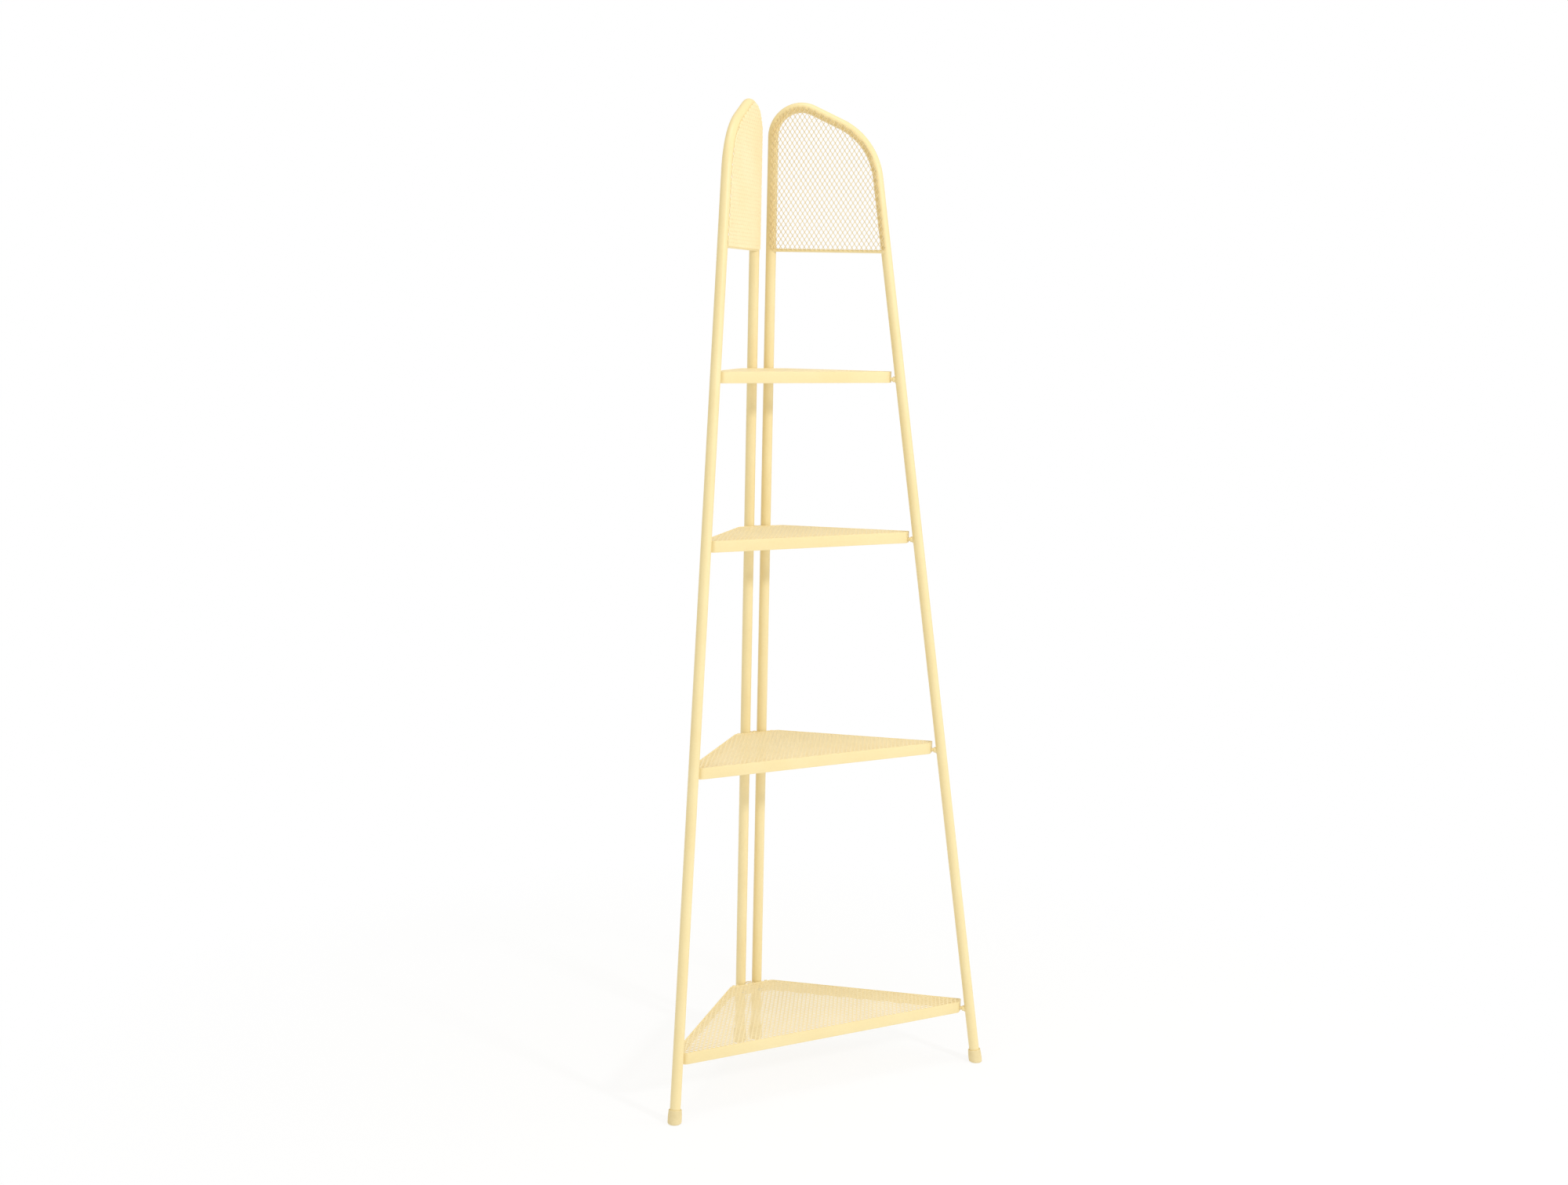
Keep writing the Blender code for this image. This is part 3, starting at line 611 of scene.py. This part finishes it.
class Socket:
    """One output in a material. Sums and products of it add Math nodes."""

    def __init__(self, finish, out):
        self.finish = finish
        self.out = out

    def maths(self, operation, one, two):
        return self.finish.node("ShaderNodeMath", {"operation": operation}, {0: one, 1: two})

    def __add__(self, other):
        return self.maths("ADD", self, other)

    def __mul__(self, other):
        return self.maths("MULTIPLY", self, other)

    __radd__ = __add__
    __rmul__ = __mul__


class Finish:
    """A material and its nodes."""

    def __init__(self, name):
        self.material = bpy.data.materials.new(name)
        self.material.use_nodes = True
        self.tree = self.material.node_tree
        self.tree.nodes.clear()
        self.spot = self.node("ShaderNodeTexCoord", {}, {}, "Object")

    def node(self, kind, settings, inputs, output=0):
        """A node of a kind with its settings, then its inputs, each a number, a colour or another socket."""
        made = self.tree.nodes.new(kind)
        for key, value in settings.items():
            setattr(made, key, value)
        for key, value in inputs.items():
            if isinstance(value, Socket):
                self.tree.links.new(value.out, made.inputs[key])
            else:
                made.inputs[key].default_value = value
        return Socket(self, made.outputs[output] if made.outputs else None)

    def noise(self, size, detail=2.0, roughness=0.5):
        """Soft noise from 0 to 1 whose features are about one size in metres."""
        return self.node("ShaderNodeTexNoise", {}, {
            "Vector": self.spot, "Scale": 1 / size, "Detail": detail, "Roughness": roughness})

    def between(self, value, low, high):
        """0 below low, 1 above high, and an even rise between."""
        return self.node("ShaderNodeMapRange", {"clamp": True}, {
            "Value": value, "From Min": low, "From Max": high, "To Min": 0.0, "To Max": 1.0})

    def blend(self, share, one, two):
        """One colour turning into another as the share goes from 0 to 1."""
        return self.node("ShaderNodeMix", {"data_type": "RGBA", "blend_type": "MIX"}, {
            0: share, 6: (*one, 1), 7: (*two, 1)}, 2)

    def surface(self, sockets, height, depth):
        """The Principled shader with its sockets, a bump from a height socket, and the material's output."""
        bump = self.node("ShaderNodeBump", {}, {"Height": height, "Distance": depth, "Strength": 1.0})
        shader = self.node("ShaderNodeBsdfPrincipled", {}, {**sockets, "Normal": bump})
        self.node("ShaderNodeOutputMaterial", {}, {"Surface": shader})
        return self.material


def powder_coat(name, pale, deep, peel_depth):
    """Satin powder coat: an orange peel of low rounded bumps, finer grain on top, and a colour that deepens a
    little where the coat lies thicker."""
    finish = Finish(name)
    cloud = finish.between(finish.noise(0.09, 3.0), 0.3, 0.7)
    fleck = finish.between(finish.noise(0.0035, 2.0), 0.35, 0.7)
    peel = finish.noise(0.0022, 1.0)
    grain = finish.noise(0.0006, 2.0)
    colour = finish.blend(cloud * 0.7 + fleck * 0.3, deep, pale)
    roughness = 0.40 + cloud * 0.06 + fleck * 0.08
    return finish.surface({
        "Base Color": colour, "Roughness": roughness, "Metallic": 0.0, "Coat Weight": 0.08,
        "Coat Roughness": 0.25}, peel + grain * 0.25, peel_depth)


def moulded_plastic():
    """Matte plastic with the fine grain of its mould and faint flow marks."""
    finish = Finish("pale_yellow_plastic")
    flow = finish.between(finish.noise(0.012, 3.0), 0.3, 0.7)
    grain = finish.noise(0.0005, 3.0, 0.6)
    colour = finish.blend(flow, (0.75, 0.62, 0.34), (0.81, 0.68, 0.39))
    roughness = 0.52 + flow * 0.08
    return finish.surface({"Base Color": colour, "Roughness": roughness, "Metallic": 0.0}, grain, 0.00004)


def zinc_plate():
    """Bright zinc over turned steel: fine grain, a cloudy grey and a trace of yellow."""
    finish = Finish("zinc_plate")
    cloud = finish.between(finish.noise(0.004, 3.0), 0.3, 0.7)
    grain = finish.noise(0.0003, 2.0)
    colour = finish.blend(cloud, (0.50, 0.50, 0.48), (0.68, 0.68, 0.66))
    roughness = 0.28 + cloud * 0.14
    return finish.surface({"Base Color": colour, "Roughness": roughness, "Metallic": 0.9}, grain, 0.00002)


def floor_paint():
    """Pale floor that keeps a soft shadow near the shelf and turns to plain white away from it."""
    finish = Finish("pale_floor")
    distance = finish.node("ShaderNodeVectorMath", {"operation": "LENGTH"}, {0: finish.spot}, "Value")
    away = finish.between(distance, FLOOR_FADE_FROM, FLOOR_FADE_TO)
    matte = finish.node("ShaderNodeBsdfDiffuse", {}, {"Color": (0.93, 0.94, 0.98, 1)})
    white = finish.node("ShaderNodeEmission", {}, {"Color": (1, 1, 1, 1), "Strength": 1.0})
    share = FLOOR_SHINE + away * (1 - FLOOR_SHINE)
    mixed = finish.node("ShaderNodeMixShader", {}, {0: share, 1: matte, 2: white})
    finish.node("ShaderNodeOutputMaterial", {}, {"Surface": mixed})
    return finish.material


def lay_floor():
    """A round floor whose middle ring shrinks to a point."""
    rings = np.concatenate([[0.0], np.linspace(FLOOR_FIRST_RING, FLOOR_REACH, FLOOR_RINGS)])[:, None]
    a = np.linspace(0, 2 * math.pi, FLOOR_SIDES, endpoint=False)
    points = np.stack([rings * np.cos(a), rings * np.sin(a), 0 * rings * a - FLOOR_DROP], axis=-1)
    faces = grid_faces(len(rings), FLOOR_SIDES, False)[:, ::-1]
    mesh = bpy.data.meshes.new("floor")
    mesh.from_pydata(points.reshape(-1, 3), [], faces.tolist())
    work = bmesh.new()
    work.from_mesh(mesh)
    bmesh.ops.remove_doubles(work, verts=work.verts, dist=1e-5)
    work.to_mesh(mesh)
    work.free()
    mesh.materials.append(floor_paint())
    floor = bpy.data.objects.new("floor", mesh)
    bpy.context.scene.collection.objects.link(floor)


def light_room():
    """The world: plain white where the camera sees it, and a dimmer, warmer light for everything else."""
    world = bpy.data.worlds.new("studio")
    bpy.context.scene.world = world
    world.use_nodes = True
    tree = world.node_tree
    tree.nodes.clear()
    path = tree.nodes.new("ShaderNodeLightPath")
    seen = tree.nodes.new("ShaderNodeMath")
    seen.operation = "MAXIMUM"
    tree.links.new(path.outputs["Is Camera Ray"], seen.inputs[0])
    tree.links.new(path.outputs["Is Transmission Ray"], seen.inputs[1])
    room = tree.nodes.new("ShaderNodeBackground")
    room.inputs["Color"].default_value = ROOM_COLOUR
    room.inputs["Strength"].default_value = ROOM_STRENGTH
    white = tree.nodes.new("ShaderNodeBackground")
    white.inputs["Color"].default_value = (1, 1, 1, 1)
    white.inputs["Strength"].default_value = 1.0
    mixed = tree.nodes.new("ShaderNodeMixShader")
    out = tree.nodes.new("ShaderNodeOutputWorld")
    tree.links.new(seen.outputs[0], mixed.inputs[0])
    tree.links.new(room.outputs[0], mixed.inputs[1])
    tree.links.new(white.outputs[0], mixed.inputs[2])
    tree.links.new(mixed.outputs[0], out.inputs["Surface"])


def hang_lamps():
    """The square lamps, each turned to its aim."""
    for name, spot, aim, size, power, colour in LAMPS:
        data = bpy.data.lights.new(name, "AREA")
        data.shape = "SQUARE"
        data.size = size
        data.energy = power
        data.color = colour
        lamp = bpy.data.objects.new(name, data)
        lamp.location = spot
        lamp.rotation_euler = (Vector(aim) - Vector(spot)).to_track_quat("-Z", "Y").to_euler()
        bpy.context.scene.collection.objects.link(lamp)


def set_camera():
    """The photograph's camera: it looks ahead along yaw and pitch, then rolls about that line."""
    level = math.cos(CAMERA_PITCH)
    ahead = Vector((math.sin(CAMERA_YAW) * level, math.cos(CAMERA_YAW) * level, math.sin(CAMERA_PITCH)))
    right = ahead.cross(Vector((0, 0, 1))).normalized()
    down = ahead.cross(right)
    rolled_right = right * math.cos(CAMERA_ROLL) + down * math.sin(CAMERA_ROLL)
    rolled_down = down * math.cos(CAMERA_ROLL) - right * math.sin(CAMERA_ROLL)
    data = bpy.data.cameras.new("camera")
    data.lens = CAMERA_LENS
    data.sensor_width = CAMERA_SENSOR
    camera = bpy.data.objects.new("camera", data)
    turn = Matrix((rolled_right, -rolled_down, -ahead)).transposed().to_4x4()
    camera.matrix_world = Matrix.Translation(CAMERA_PLACE) @ turn
    bpy.context.scene.collection.objects.link(camera)
    bpy.context.scene.camera = camera
    bpy.context.scene.view_settings.view_transform = "Standard"


def dress():
    """Makes every piece and puts it in the place of its CAD node."""
    coat = powder_coat("pale_yellow_powder_coat", (0.88, 0.75, 0.43), (0.85, 0.70, 0.37), 0.00006)
    # Painted light: the expanded metal has the same powder coat as the tubes, but this copy is paler and bluer
    # so its strands stay as bright as the lit rims despite the shade they cast on each other.
    painted_light_mesh_coat = powder_coat("pale_yellow_mesh_coat_painted_lighter", (0.94, 0.81, 0.53), (0.91, 0.76, 0.455), 0.00003)
    plastic = moulded_plastic()
    zinc = zinc_plate()
    steel = "powder_coated_steel"
    plated = "zinc_plated_steel"
    for side, hand in SIDES:
        finished(frame_tube(side, hand), coat, steel, f"{side}_frame_tube")
        for end, reach, lean in (("front", FRONT_REACH, LEG_LEAN), ("rear", REAR_REACH, 0)):
            finished(foot(side, hand, end, reach, lean), plastic, "foot_plastic", f"{side}_{end}_foot")
        finished(panel_bar(side, hand), coat, steel, f"{side}_panel_bar")
        finished(panel_mesh(side, hand), painted_light_mesh_coat, steel, f"{side}_panel_mesh")
    for name, height in SHELVES:
        finished(shelf_rim(name, height), coat, steel, f"{name}_rim")
        finished(shelf_mesh(name, height), painted_light_mesh_coat, steel, f"{name}_mesh")
        bolt_z = height - BOLT_DROP
        leg = leg_reach(bolt_z)
        seat = tip_reach(height) - RIM_THICKNESS - GAP
        bolt_end = leg - TUBE_RADIUS - BOSS_LENGTH + GAP + BOLT_GRIP
        strip = CORNER_Y - STRIP_Y
        rear_end = strip + GAP + REAR_BOLT_GRIP
        rear_length = rear_end - strip + RIM_THICKNESS + GAP
        for side, hand in SIDES:
            own = f"{name}_{side}"
            x = hand * UPRIGHT_X
            finished(boss(f"{own}_boss_turned", hand, leg, bolt_z), coat, steel, f"{own}_boss")
            front_origin = place(hand, bolt_end, FRAME_PLANE, bolt_z)
            front_bolt = bolt(f"{own}_bolt_turned", front_origin, heading(hand, -1, 0), bolt_end - seat)
            finished(front_bolt, zinc, plated, f"{own}_bolt")
            nut = rivet_nut(f"{own}_rear_nut_turned", x, strip + GAP, bolt_z)
            finished(nut, zinc, plated, f"{own}_rear_nut")
            rear_bolt = bolt(f"{own}_rear_bolt_turned", (x, rear_end, bolt_z), (0, -1, 0), rear_length)
            finished(rear_bolt, zinc, plated, f"{own}_rear_bolt")


dress()
lay_floor()
light_room()
hang_lamps()
set_camera()
